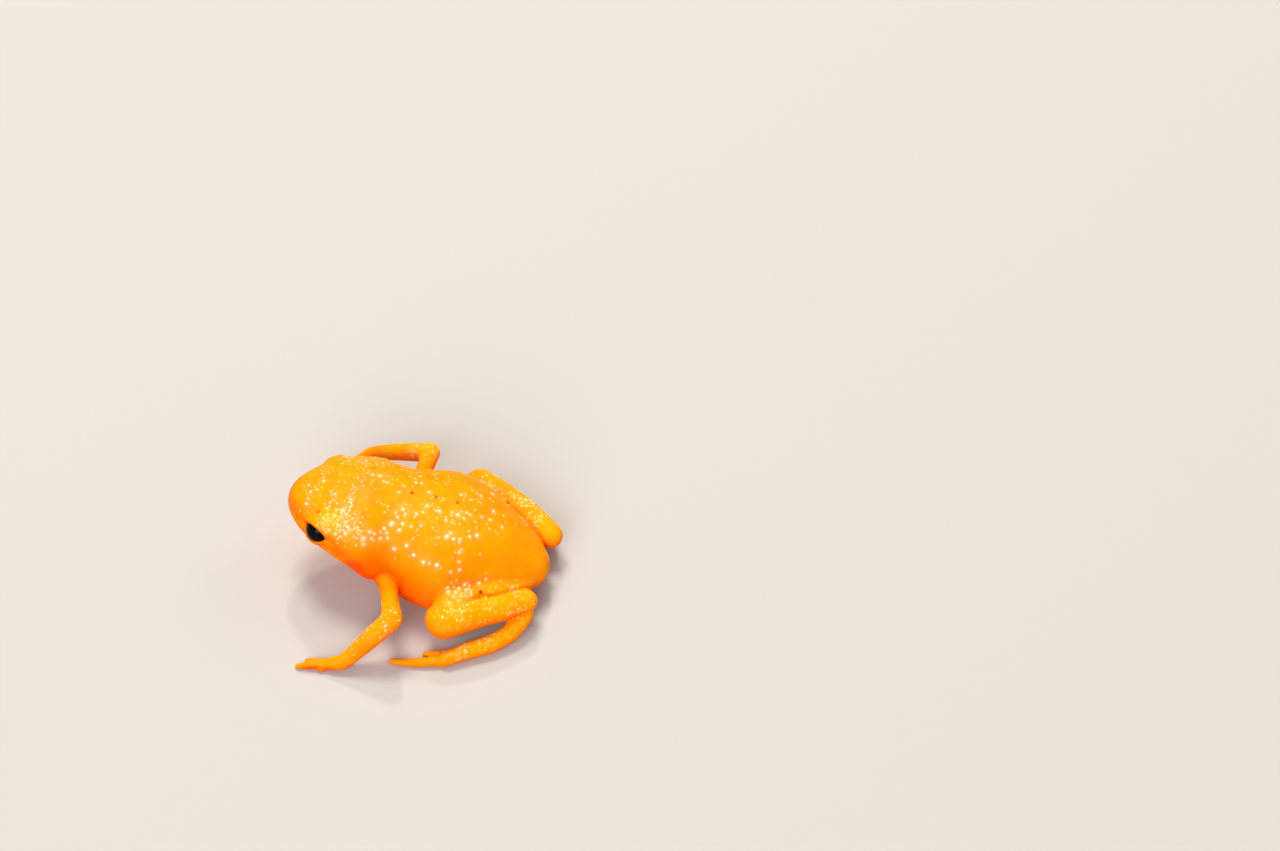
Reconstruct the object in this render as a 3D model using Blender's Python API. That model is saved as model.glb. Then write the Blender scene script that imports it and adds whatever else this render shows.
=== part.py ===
"""A life-size pumpkin toadlet that sits with its head up, on its belly, hands and feet.

All lengths below are millimetres, and the meshes are metres. x runs to the animal's left, y to its rear
and z up. The origin is on the floor, in the middle of the flat that the belly rests on.
"""

import math

import bmesh
import bpy
import numpy as np
from mathutils import Matrix, Vector

MM = 0.001
GAP = 0.3  # left between neighbouring solids
HALF_GAP = GAP / 2
SHARP_ANGLE = math.radians(40)

# The head and torso are one loft. Each section has its place along y, its half width, and the heights
# of its top and bottom.
SNOUT_TIP = (-8.72, 0.00, 4.05, 4.05)
LIP = (-8.50, 0.78, 4.60, 3.50)
NOSTRIL = (-7.95, 1.55, 5.00, 3.02)
MUZZLE = (-7.25, 2.12, 5.32, 2.72)
EYE = (-6.45, 2.60, 5.58, 2.42)
CHEEK = (-5.40, 3.08, 5.78, 2.05)
JAW = (-4.30, 3.34, 5.84, 1.65)
AXILLA = (-2.80, 3.10, 5.64, 0.95)
BELLY = (-0.60, 3.86, 5.36, -0.08)
LOIN = (1.00, 3.58, 4.92, -0.12)
HIP = (2.40, 2.74, 4.16, 0.02)
RUMP = (3.90, 1.72, 3.06, 0.36)
VENT_RIM = (4.80, 0.84, 2.14, 0.86)
VENT = (5.08, 0.00, 1.50, 1.50)
SECTIONS = (SNOUT_TIP, LIP, NOSTRIL, MUZZLE, EYE, CHEEK, JAW, AXILLA, BELLY, LOIN, HIP, RUMP, VENT_RIM, VENT)
BODY_SIDES = 32
ROUNDNESS = (2.25, 2.7)  # of a section's upper and lower half, where 2 is an ellipse and more is squarer
WIDEST = 0.42  # share of a section's height at which it is widest
NECK_Y = -4.0  # where the head is parted from the torso

EYE_CENTRE = Vector((1.92, -6.58, 4.02))
EYE_AXIS = Vector((0.82, -0.56, 0.10)).normalized()
EYE_RADIUS = 0.78
SOCKET_RADIUS = EYE_RADIUS + 0.25
ORBIT_CENTRE = Vector((1.62, -6.32, 4.12))
ORBIT_RADIUS = 1.15
LID_OUT = 0.34  # from the eye's centre along its axis to the plane of the lids
LID_REACH = 1.04  # from the eye's axis to the middle of a lid's roll
UPPER_LID = (10, 170, 0.20)  # first and last angle round the eye, and radius
LOWER_LID = (195, 345, 0.15)

NOSTRIL_PLACE = (-8.00, 4.08)  # y and z, on the side of the snout
NOSTRIL_OUT = Vector((0.60, -0.78, 0.18)).normalized()
NOSTRIL_RIM_RADIUS = 0.24
NOSTRIL_PIT_RADIUS = 0.13
MOUTH_RADIUS = 0.13
MOUTH_BACK = (-4.85, 2.95)  # y and z of the corners of the mouth
MOUTH_FRONT = (-8.66, 3.68)

# Limbs are rods through rows of x, y, z and radius.
ARMS = {
    "left": {
        "upper_arm": ((2.40, -3.05, 2.05, 0.60), (4.30, -2.50, 2.36, 0.46), (6.00, -1.98, 2.60, 0.56)),
        "forearm": ((6.00, -1.98, 2.60, 0.56), (6.60, -2.95, 1.72, 0.51), (7.30, -4.25, 0.52, 0.39)),
        "fingertip": (8.06, -6.55, 0.13),
    },
    "right": {
        "upper_arm": ((-2.40, -2.70, 2.10, 0.60), (-3.90, -2.52, 2.45, 0.45), (-5.31, -2.34, 2.80, 0.52)),
        "forearm": ((-5.31, -2.34, 2.80, 0.52), (-5.80, -3.95, 1.88, 0.47), (-6.40, -5.60, 0.72, 0.38)),
        "fingertip": (-5.60, -7.60, 0.13),
    },
}
LEGS = {
    "left": {
        "thigh": (
            (1.98, 3.35, 1.62, 0.72),
            (2.50, 2.60, 1.92, 0.72),
            (2.97, 1.75, 2.10, 0.70),
            (3.55, 0.95, 2.12, 0.76),
        ),
        "shank": (
            (4.67, 0.46, 1.60, 1.00),
            (3.88, 2.00, 1.74, 0.87),
            (3.20, 3.12, 1.62, 0.79),
            (2.42, 4.30, 1.44, 0.66),
        ),
        "tarsus": ((2.48, 4.42, 1.04, 0.50), (3.90, 3.90, 0.64, 0.48), (4.84, 2.96, 0.47, 0.49)),
        "foot_turn": 0,
    },
    "right": {
        "thigh": (
            (-1.98, 3.35, 1.46, 0.72),
            (-2.50, 2.60, 1.62, 0.72),
            (-2.97, 1.75, 1.74, 0.70),
            (-3.52, 0.95, 1.86, 0.76),
        ),
        "shank": (
            (-4.55, 0.46, 1.66, 0.92),
            (-3.86, 1.66, 1.82, 0.86),
            (-3.14, 3.16, 1.66, 0.74),
            (-2.16, 4.52, 1.48, 0.66),
        ),
        "tarsus": ((-2.25, 4.60, 1.05, 0.50), (-3.66, 3.80, 0.64, 0.46), (-4.45, 2.95, 0.47, 0.46)),
        "foot_turn": 10,
    },
}
# The foot is given for the left side, from the ankle on, and starts where the tarsus ends on either side.
# Its toes point towards the body by foot_turn in degrees.
SOLE = ((4.84, 2.96, 0.47, 0.49), (5.52, 1.82, 0.42, 0.46), (6.22, 0.88, 0.36, 0.38))
TOES = (
    (
        (6.10, 1.05, 0.30, 0.30),
        (6.50, -0.10, 0.24, 0.27),
        (6.70, -1.05, 0.19, 0.22),
        (6.74, -1.95, 0.12, 0.14),
    ),
    ((5.78, 1.25, 0.30, 0.30), (5.88, 0.40, 0.22, 0.23), (5.92, -0.35, 0.12, 0.14)),
    ((5.55, 1.60, 0.28, 0.26), (5.58, 1.02, 0.15, 0.17)),
    ((6.15, 1.15, 0.28, 0.26), (6.46, 0.62, 0.15, 0.17)),
)

PALM_LENGTH = 0.95
KNUCKLE_HEIGHT = 0.24
PALM_RADIUS = 0.38
PALM_FLATNESS = 0.8
# Each finger: its angle from the hand's line towards the body, its length as a share of the longest,
# and its radius at the root and the tip.
FINGERS = ((0, 1.00, 0.24, 0.15), (17, 0.74, 0.22, 0.14), (46, 0.30, 0.19, 0.16), (-24, 0.34, 0.20, 0.16))

SKIN = ("skin", (1.0, 0.33, 0.005), 0.42)  # name, linear colour and roughness
EYE_BLACK = ("eye_black", (0.006, 0.005, 0.004), 0.08)


def clear_scene():
    for obj in list(bpy.data.objects):
        bpy.data.objects.remove(obj)


def new_collection(name, rendered=True):
    collection = bpy.data.collections.new(name)
    bpy.context.scene.collection.children.link(collection)
    collection.hide_render = not rendered
    return collection


def material(name, colour, roughness):
    made = bpy.data.materials.get(name)
    if made is None:
        made = bpy.data.materials.new(name)
        made.use_nodes = True
        shader = made.node_tree.nodes["Principled BSDF"]
        shader.inputs["Base Color"].default_value = (*colour, 1.0)
        shader.inputs["Roughness"].default_value = roughness
        shader.inputs["Metallic"].default_value = 0.0
        made.diffuse_color = (*colour, 1.0)
    return made


def shade(mesh, finish):
    """One material, and smooth shading but for the sharp edges."""
    mesh.materials.clear()
    mesh.materials.append(material(*finish))
    mesh.polygons.foreach_set("material_index", [0] * len(mesh.polygons))
    mesh.shade_smooth()
    mesh.set_sharp_from_angle(angle=SHARP_ANGLE)


def new_part(name, bm, collection, finish=SKIN):
    """A new object from a bmesh in millimetres."""
    bmesh.ops.recalc_face_normals(bm, faces=bm.faces)
    bmesh.ops.scale(bm, vec=(MM, MM, MM), verts=bm.verts)
    mesh = bpy.data.meshes.new(name)
    bm.to_mesh(mesh)
    bm.free()
    shade(mesh, finish)
    obj = bpy.data.objects.new(name, mesh)
    collection.objects.link(obj)
    return obj


def loft(rings, first_pole=None, last_pole=None):
    """A closed bmesh through rings of equally many points. An end with no pole gets a flat cap."""
    bm = bmesh.new()
    rows = [[bm.verts.new(point) for point in ring] for ring in rings]
    count = len(rows[0])
    for low, high in zip(rows, rows[1:]):
        for i in range(count):
            j = (i + 1) % count
            bm.faces.new((low[i], low[j], high[j], high[i]))
    for row, pole in ((rows[0], first_pole), (rows[-1], last_pole)):
        if pole is None:
            bm.faces.new(row)
            continue
        tip = bm.verts.new(pole)
        for i in range(count):
            bm.faces.new((row[i], row[(i + 1) % count], tip))
    return bm


def smooth_rows(table, steps):
    """A Catmull-Rom curve through a table's rows, with this many steps a span. The first row and the last
    only guide the curve."""
    rows = []
    for before, start, end, after in zip(table, table[1:], table[2:], table[3:]):
        for t in np.arange(steps) / steps:
            bend = (2 * before - 5 * start + 4 * end - after) * t**2
            twist = (3 * start - before - 3 * end + after) * t**3
            rows.append((2 * start + (end - before) * t + bend + twist) / 2)
    return np.array([*rows, table[-2]])


def body_rows(steps=3):
    """The body's sections with others between them. Past each pole the next one is mirrored, so that
    the ends are round."""

    def mirrored(section):
        y, half, top, bottom = section
        return (y, -half, bottom, top)

    return smooth_rows(np.array([mirrored(LIP), *SECTIONS, mirrored(VENT_RIM)]), steps)


def body_at(y):
    """The body's half width, top, bottom and widest height at one y."""
    rows = body_rows(12)
    half, top, bottom = (float(np.interp(y, rows[:, 0], rows[:, k])) for k in (1, 2, 3))
    return half, top, bottom, bottom + WIDEST * (top - bottom)


def body_ring(y, half, top, bottom, grow):
    """One section, a superellipse in two halves, grown outwards."""
    middle = bottom + WIDEST * (top - bottom)
    ring = []
    for k in range(BODY_SIDES):
        angle = 2 * math.pi * k / BODY_SIDES
        cos, sin = math.cos(angle), math.sin(angle)
        rise, power = (top - middle, ROUNDNESS[0]) if sin > 0 else (middle - bottom, ROUNDNESS[1])
        x = (half + grow) * math.copysign(abs(cos) ** (2 / power), cos)
        z = middle + (rise + grow) * math.copysign(abs(sin) ** (2 / power), sin)
        ring.append(Vector((x, y, z)))
    return ring


def body_loft(first_y=None, last_y=None, grow=0.0):
    """The body, from one value of y to another with a flat cap at each, or to its own round ends."""
    rows = body_rows()
    low = SNOUT_TIP[0] if first_y is None else first_y
    high = VENT[0] if last_y is None else last_y
    reach = 0.12  # no section lies nearer than this to a flat cap
    margins = (0.0 if first_y is None else reach, 0.0 if last_y is None else reach)
    inner = (rows[:, 0] > low + margins[0]) & (rows[:, 0] < high - margins[1]) & (rows[:, 1] > 0.05)
    rings = [body_ring(*row, grow) for row in rows[inner]]
    snout = vent = None
    if first_y is None:
        snout = Vector((0, SNOUT_TIP[0] - grow, SNOUT_TIP[2]))
    else:
        rings.insert(0, body_ring(first_y, *body_at(first_y)[:3], grow))
    if last_y is None:
        vent = Vector((0, VENT[0] + grow, VENT[2]))
    else:
        rings.append(body_ring(last_y, *body_at(last_y)[:3], grow))
    return loft(rings, snout, vent)


def beside(y, z):
    """The point on the body's left side at y and z."""
    half, top, bottom, middle = body_at(y)
    rise, power = (top - middle, ROUNDNESS[0]) if z > middle else (middle - bottom, ROUNDNESS[1])
    share = min(abs(z - middle) / rise, 1.0)
    return Vector((half * (1 - share**power) ** (1 / power), y, z))


def sided(point, side):
    """The point as it is for the left side, or mirrored for the right."""
    return Vector((point[0] * side, point[1], point[2]))


def ball(centre, radius, segments=18, rings=12):
    bm = bmesh.new()
    bmesh.ops.create_uvsphere(bm, u_segments=segments, v_segments=rings, radius=radius)
    bmesh.ops.translate(bm, vec=centre, verts=bm.verts)
    return bm


def square_to(direction):
    """Two unit vectors square to a direction: one level, and one as near to up as can be."""
    along = direction.normalized()
    level = Vector((0, 0, 1)).cross(along).normalized()
    return level, along.cross(level)


def rod(rows, sides=12, steps=3, grow=0.0, flat=1.0):
    """A closed tube through rows of x, y, z and radius, smooth between them and round at both ends.
    flat scales its height."""
    table = np.array(rows, float)
    table = np.array([2 * table[0] - table[1], *table, 2 * table[-1] - table[-2]])
    fine = smooth_rows(table, steps)
    points = [Vector(row[:3]) for row in fine]
    radii = [row[3] + grow for row in fine]
    last = len(points) - 1
    ways = [points[min(k + 1, last)] - points[max(k - 1, 0)] for k in range(last + 1)]
    stations = list(zip(points, radii, ways))

    def cap(end, inner):
        """Two shrinking stations past an end, and the tip."""
        out = (points[end] - points[inner]).normalized()
        way = ways[end]
        radius = radii[end]
        rounds = [(points[end] + out * radius * s, radius * math.sqrt(1 - s**2), way) for s in (0.5, 0.82)]
        return rounds, points[end] + out * radius

    before, first_tip = cap(0, 1)
    after, last_tip = cap(last, last - 1)
    angles = [2 * math.pi * k / sides for k in range(sides)]
    rings = []
    for point, radius, way in (*reversed(before), *stations, *after):
        level, up = square_to(way)
        rings.append([point + (level * math.cos(a) + up * math.sin(a) * flat) * radius for a in angles])
    return loft(rings, first_tip, last_tip)


def cut_away(bm, point, normal):
    """Removes what lies on the side of a plane that its normal points to, and closes the cut."""
    geometry = bm.verts[:] + bm.edges[:] + bm.faces[:]
    cut = bmesh.ops.bisect_plane(bm, geom=geometry, plane_co=point, plane_no=normal, clear_outer=True)
    edges = [e for e in cut["geom_cut"] if isinstance(e, bmesh.types.BMEdge)]
    if edges:
        bmesh.ops.holes_fill(bm, edges=edges, sides=0)


def cut_floor(bm):
    cut_away(bm, Vector((0, 0, 0)), Vector((0, 0, -1)))


def part_at(bm, joint, own, other):
    """Parts a limb at a joint from the next one, by the plane halfway between the two less half the gap.
    own and other are points of the two limbs."""
    normal = ((other - joint).normalized() - (own - joint).normalized()).normalized()
    cut_away(bm, joint - normal * HALF_GAP, normal)


def keep_largest(bm):
    """Leaves only the largest closed surface."""
    unseen = set(bm.verts)
    surfaces = []
    while unseen:
        queue = [unseen.pop()]
        found = set(queue)
        while queue:
            near = {vert for edge in queue.pop().link_edges for vert in edge.verts} & unseen
            unseen -= near
            found |= near
            queue.extend(near)
        surfaces.append(found)
    surfaces.sort(key=len)
    small = [vert for found in surfaces[:-1] for vert in found]
    bmesh.ops.delete(bm, geom=small, context="VERTS")


def rework(obj, *changes):
    """Changes an object's mesh by functions of a bmesh in millimetres."""
    bm = bmesh.new()
    bm.from_mesh(obj.data)
    bmesh.ops.scale(bm, vec=(1 / MM, 1 / MM, 1 / MM), verts=bm.verts)
    for change in changes:
        change(bm)
    bmesh.ops.scale(bm, vec=(MM, MM, MM), verts=bm.verts)
    bm.to_mesh(obj.data)
    bm.free()
    shade(obj.data, SKIN)


def combine(obj, operation, others):
    """One Boolean of an object with a collection of closed meshes, applied. The meshes are removed."""
    group = new_collection(obj.name + "_joined")
    for other in others:
        cutters.objects.unlink(other)
        group.objects.link(other)
    modifier = obj.modifiers.new(operation.lower(), "BOOLEAN")
    modifier.operation = operation
    modifier.operand_type = "COLLECTION"
    modifier.collection = group
    modifier.solver = "EXACT"
    bpy.context.view_layer.update()
    graph = bpy.context.evaluated_depsgraph_get()
    mesh = bpy.data.meshes.new_from_object(obj.evaluated_get(graph))
    mesh.name = obj.name
    obj.modifiers.clear()
    obj.data = mesh
    rework(obj, keep_largest)
    for other in others:
        bpy.data.objects.remove(other)
    bpy.data.collections.remove(group)


def lid_rows(side, first, last, radius):
    """A lid's roll, on an arc round the eye's axis from one angle to another. 90 degrees is on top."""
    centre, axis = sided(EYE_CENTRE, side), sided(EYE_AXIS, side)
    level, up = square_to(axis)
    rows = []
    for share in np.linspace(0, 1, 6):
        angle = math.radians(first + (last - first) * share)
        out = (level * math.cos(angle) + up * math.sin(angle)) * LID_REACH
        rows.append((*(centre + axis * LID_OUT + out), radius * (0.6 + 0.4 * math.sin(math.pi * share))))
    return rows


def mouth_rows():
    """The line of the mouth on the head's surface, from the left corner round the snout to the right."""
    left = []
    for share in np.linspace(0, 0.96, 8):
        y, z = (back + (front - back) * share for back, front in zip(MOUTH_BACK, MOUTH_FRONT))
        left.append((*beside(y, z), MOUTH_RADIUS))
    right = [(-x, y, z, radius) for x, y, z, radius in reversed(left)]
    return [*left, (0, *MOUTH_FRONT, MOUTH_RADIUS), *right]


def build_head():
    """The head with domes over the eyes, lids and rims of the nostrils joined on, and the sockets, the
    mouth and the nostrils cut in."""
    head = new_part("head", body_loft(last_y=NECK_Y - HALF_GAP), toadlet)
    joined = []
    cut = [new_part("mouth", rod(mouth_rows(), sides=6, steps=2), cutters)]
    nostril = beside(*NOSTRIL_PLACE)
    for side in (1, -1):
        joined.append(new_part("orbit", ball(sided(ORBIT_CENTRE, side), ORBIT_RADIUS, 20, 14), cutters))
        for first, last, radius in (UPPER_LID, LOWER_LID):
            lid = rod(lid_rows(side, first, last, radius), sides=8, steps=2)
            joined.append(new_part("lid", lid, cutters))
        rim = sided(nostril - NOSTRIL_OUT * 0.16, side)
        joined.append(new_part("nostril_rim", ball(rim, NOSTRIL_RIM_RADIUS, 12, 8), cutters))
        cut.append(new_part("socket", ball(sided(EYE_CENTRE, side), SOCKET_RADIUS, 20, 14), cutters))
        pit = sided(nostril + NOSTRIL_OUT * 0.11, side)
        cut.append(new_part("nostril", ball(pit, NOSTRIL_PIT_RADIUS, 10, 6), cutters))
    combine(head, "UNION", joined)
    combine(head, "DIFFERENCE", cut)


def grown(rows):
    """A cutter in the shape of a limb and the gap round it."""
    return new_part("grown", rod(rows, sides=16, grow=GAP), cutters)


def build_torso():
    """The torso, hollowed where the thighs lie against it."""
    torso = body_loft(first_y=NECK_Y + HALF_GAP)
    cut_floor(torso)
    torso = new_part("torso", torso, toadlet)
    combine(torso, "DIFFERENCE", [grown(leg["thigh"]) for leg in LEGS.values()])


def clear_of_body(obj):
    """Cuts from a limb what lies in the body or in the gap round it."""
    combine(obj, "DIFFERENCE", [new_part("grown_body", body_loft(grow=GAP), cutters)])


def build_arm(name, side, arm):
    middle, elbow = (Vector(row[:3]) for row in arm["upper_arm"][1:])
    fore, wrist = (Vector(row[:3]) for row in arm["forearm"][1:])
    tip = Vector(arm["fingertip"])
    upper_arm = rod(arm["upper_arm"])
    part_at(upper_arm, elbow, middle, fore)
    clear_of_body(new_part("upper_arm_" + name, upper_arm, toadlet))
    forearm = rod(arm["forearm"])
    part_at(forearm, elbow, fore, middle)
    part_at(forearm, wrist, fore, tip)
    cut_floor(forearm)
    new_part("forearm_" + name, forearm, toadlet)
    hand = build_hand(name, side, wrist, tip)
    rework(hand, lambda bm: part_at(bm, wrist, tip, fore), cut_floor, keep_largest)


def build_hand(name, side, wrist, tip):
    """A flat palm and four fingers, of which the two middle ones are long."""
    along = (tip - wrist).normalized()
    knuckle = wrist + along * PALM_LENGTH
    knuckle.z = KNUCKLE_HEIGHT
    longest = (tip - knuckle).length
    shape = ((0, 1.0), (0.5, 1.08), (1, 0.85))
    palm_rows = [(*wrist.lerp(knuckle, t), PALM_RADIUS * size) for t, size in shape]
    palm = rod(palm_rows, steps=2, flat=PALM_FLATNESS)
    fingers = []
    for angle, share, thick, thin in FINGERS:
        turn = Matrix.Rotation(-math.radians(angle) * side, 3, "Z")
        way = turn @ Vector((along.x, along.y, 0)).normalized()
        start = knuckle - along * 0.25
        end = start + way * (longest + 0.25) * share
        start.z, end.z = knuckle.z, tip.z
        middle = start.lerp(end, 0.5) + Vector((0, 0, 0.04))
        rows = ((*start, thick), (*middle, thick), (*end, thin))
        fingers.append(new_part("finger", rod(rows, sides=10, steps=2), cutters))
    hand = new_part("hand_" + name, palm, toadlet)
    combine(hand, "UNION", fingers)
    return hand


def build_leg(name, side, leg):
    ankle = Vector(leg["tarsus"][-1][:3])

    def turned(rows):
        """Rows of the foot on this side, set on the ankle and turned about it."""
        turn = Matrix.Rotation(-math.radians(leg["foot_turn"]) * side, 3, "Z")
        start = sided(SOLE[0], side)
        return [(*(turn @ (sided(row, side) - start) + ankle), row[3]) for row in rows]

    sole_rows = turned(SOLE)
    ahead, behind = (Vector(row[:3]) for row in (sole_rows[1], leg["tarsus"][1]))

    thigh = new_part("thigh_" + name, rod(leg["thigh"], sides=16), toadlet)
    combine(thigh, "DIFFERENCE", [grown(leg["shank"])])
    shank = new_part("shank_" + name, rod(leg["shank"], sides=16), toadlet)
    clear_of_body(shank)

    tarsus = rod(leg["tarsus"])
    part_at(tarsus, ankle, behind, ahead)
    cut_floor(tarsus)
    tarsus = new_part("tarsus_" + name, tarsus, toadlet)
    combine(tarsus, "DIFFERENCE", [grown(leg["shank"])])
    clear_of_body(tarsus)

    foot = new_part("foot_" + name, rod(sole_rows), toadlet)
    toes = [new_part("toe", rod(turned(toe), sides=10, steps=2), cutters) for toe in TOES]
    combine(foot, "UNION", toes)
    rework(foot, lambda bm: part_at(bm, ankle, ahead, behind), cut_floor, keep_largest)


clear_scene()
toadlet = new_collection("pumpkin_toadlet")
cutters = new_collection("cutters", rendered=False)
build_head()
build_torso()
for name, side in (("left", 1), ("right", -1)):
    new_part("eye_" + name, ball(sided(EYE_CENTRE, side), EYE_RADIUS, 20, 14), toadlet, EYE_BLACK)
    build_arm(name, side, ARMS[name])
    build_leg(name, side, LEGS[name])
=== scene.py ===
# Pumpkin toadlet, a life-size still model. It faces -Y, its left is +X, and the floor is z = 0.
# Shapes are worked out in millimetres and put into their meshes in metres.

import math

import bmesh
import bpy
import numpy as np
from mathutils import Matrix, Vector


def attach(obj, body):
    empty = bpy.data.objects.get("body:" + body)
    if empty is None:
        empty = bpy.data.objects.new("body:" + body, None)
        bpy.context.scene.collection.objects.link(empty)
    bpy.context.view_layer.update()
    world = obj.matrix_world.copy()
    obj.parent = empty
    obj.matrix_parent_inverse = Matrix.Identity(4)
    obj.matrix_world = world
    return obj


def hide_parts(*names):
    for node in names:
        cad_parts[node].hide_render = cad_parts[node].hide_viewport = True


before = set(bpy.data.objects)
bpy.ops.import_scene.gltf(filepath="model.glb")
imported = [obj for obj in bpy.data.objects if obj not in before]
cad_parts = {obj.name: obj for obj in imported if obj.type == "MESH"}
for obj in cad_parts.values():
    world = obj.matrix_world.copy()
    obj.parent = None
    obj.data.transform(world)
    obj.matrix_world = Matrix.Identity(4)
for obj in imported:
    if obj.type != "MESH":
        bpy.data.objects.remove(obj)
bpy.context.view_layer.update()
mm = 0.001
print("frame loaded")

# Camera: looks down at 50 degrees on the animal's left side, from a little behind it.
view = {
    "azimuth": 102.0,
    "elevation": 50.0,
    "distance": 450.0,  # mm from the animal
    "scale": 19.3,  # pixels a mm in a picture of 1280 by 851
    "point": (0.0, -1.5, 2.5),  # mm, a point inside the animal
    "pixel": (425.6, 534.9),  # where that point lies in the picture
    "picture": (1280, 851),
}


def directions(azimuth, elevation):
    # The directions back towards the camera, to its right and up, for angles in degrees.
    a, e = math.radians(azimuth), math.radians(elevation)
    back = Vector((math.sin(a) * math.cos(e), -math.cos(a) * math.cos(e), math.sin(e)))
    right = Vector((math.cos(a), math.sin(a), 0))
    return back, right, back.cross(right)


def addObject(name, data, location=(0, 0, 0), turn=None):
    # Puts an object in the scene, turned if a quaternion is given.
    made = bpy.data.objects.new(name, data)
    made.location = location
    if turn is not None:
        made.rotation_mode = "QUATERNION"
        made.rotation_quaternion = turn
    bpy.context.scene.collection.objects.link(made)
    return made


def addCamera(setup):
    # The camera stands straight off the point, and is then turned until the point falls on its pixel.
    back, right, up = directions(setup["azimuth"], setup["elevation"])
    wide, high = setup["picture"]
    across = (setup["pixel"][0] - wide / 2) / setup["scale"]
    down = (setup["pixel"][1] - high / 2) / setup["scale"]
    towards = -back * setup["distance"] - right * across + up * down
    lens = bpy.data.cameras.new("camera")
    lens.lens = lens.sensor_width * setup["distance"] * setup["scale"] / wide
    lens.clip_start = 0.01
    lens.clip_end = 20.0
    location = (Vector(setup["point"]) + back * setup["distance"]) * mm
    turn = (-back).rotation_difference(towards) @ (-back).to_track_quat("-Z", "Y")
    bpy.context.scene.camera = addObject("camera", lens, location, turn)


addCamera(view)


def srgb(code):
    # An sRGB hex colour as linear red, green, blue and alpha.
    parts = [int(code[k : k + 2], 16) / 255 for k in (1, 3, 5)]
    return tuple(c / 12.92 if c <= 0.04045 else ((c + 0.055) / 1.055) ** 2.4 for c in parts) + (1.0,)


def setSockets(tree, target, sockets):
    # Each socket, by name or number, gets a (node, output) to link, a hex colour, or a plain value.
    for name, value in sockets.items():
        if isinstance(value, tuple) and isinstance(value[0], bpy.types.Node):
            tree.links.new(value[0].outputs[value[1]], target.inputs[name])
        else:
            target.inputs[name].default_value = srgb(value) if isinstance(value, str) else value


def node(tree, kind, sockets=None, **settings):
    # Adds a shader node with its settings, values and links.
    made = tree.nodes.new("ShaderNode" + kind)
    for name, value in settings.items():
        setattr(made, name, value)
    setSockets(tree, made, sockets or {})
    return made


def newMaterial(name):
    # A material, its tree and its shader.
    material = bpy.data.materials.new(name)
    material.use_nodes = True
    return material, material.node_tree, material.node_tree.nodes["Principled BSDF"]


def meshFrom(name, points, faces):
    # A mesh of points and faces.
    mesh = bpy.data.meshes.new(name)
    mesh.from_pydata(points, [], faces)
    mesh.update()
    return mesh


# Floor, world and lights.
studio = {
    "floorSize": 3.0,  # m
    # matt painted board: no gloss, and no pattern to draw the eye
    "floor": {"Base Color": "#bdb9b2", "Roughness": 0.85, "Specular IOR Level": 0.2},
    "world": {"Color": "#eef1f5", "Strength": 0.46},
    # name: (azimuth, elevation, distance in m, size in m, watts, colour)
    "lights": {
        "keySoftbox": (300.0, 64.0, 0.45, 0.16, 1.35, "#fff8ee"),
        "fillSoftbox": (80.0, 34.0, 0.6, 0.4, 3.0, "#fbfaff"),
        "rimSoftbox": (220.0, 40.0, 0.6, 0.25, 0.35, "#ffffff"),
        "sparkLamp": (283.0, 44.0, 0.45, 0.04, 0.6, "#fffdf5"),  # makes the small wet glints
    },
}


def addStudio(setup):
    # The floor at z = 0, the world, and lamps that face the animal.
    half = setup["floorSize"] / 2
    corners = [(-half, -half, 0), (half, -half, 0), (half, half, 0), (-half, half, 0)]
    mesh = meshFrom("floor", corners, [(0, 1, 2, 3)])
    floor = addObject("floor", mesh)
    material, tree, shader = newMaterial("mattPaintedBoard")
    setSockets(tree, shader, setup["floor"])
    mesh.materials.append(material)
    world = bpy.data.worlds.new("studio")
    world.use_nodes = True
    setSockets(world.node_tree, world.node_tree.nodes["Background"], setup["world"])
    bpy.context.scene.world = world
    for name, (azimuth, elevation, distance, size, watts, colour) in setup["lights"].items():
        back = directions(azimuth, elevation)[0]
        lamp = bpy.data.lights.new(name, "AREA")
        lamp.shape = "DISK"
        lamp.size = size
        lamp.energy = watts
        lamp.color = srgb(colour)[:3]
        addObject(name, lamp, back * distance, (-back).to_track_quat("-Z", "Y"))
    bpy.context.scene.view_settings.view_transform = "Standard"


addStudio(studio)
print("camera, floor and lights placed")

# The forms under the skin, in mm. The body is one row of sections, and each limb a rod of
# x, y, z and radius, by the numbers of the solids, but for the left wrist and the right shank.
bodyForm = {
    "sections": (  # y, half width, top, bottom
        (-8.72, 0.0, 4.05, 4.05), (-8.5, 0.78, 4.6, 3.5), (-7.95, 1.55, 5.0, 3.02),
        (-7.25, 2.12, 5.32, 2.72), (-6.45, 2.6, 5.58, 2.42), (-5.4, 3.08, 5.78, 2.05),
        (-4.3, 3.34, 5.84, 1.65), (-2.8, 3.1, 5.64, 0.95), (-0.6, 3.86, 5.36, -0.08),
        (1.0, 3.58, 4.92, -0.12), (2.4, 2.74, 4.16, 0.02), (3.9, 1.72, 3.06, 0.36), (4.8, 0.84, 2.14, 0.86),
        (5.08, 0.0, 1.5, 1.5),
    ),
    "roundness": (2.25, 2.7),  # of the upper and lower half, where 2 is an ellipse and more is squarer
    "widest": 0.42,  # share of a section's height at which it is widest
    "sides": 72,
    "steps": 7,
}
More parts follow.
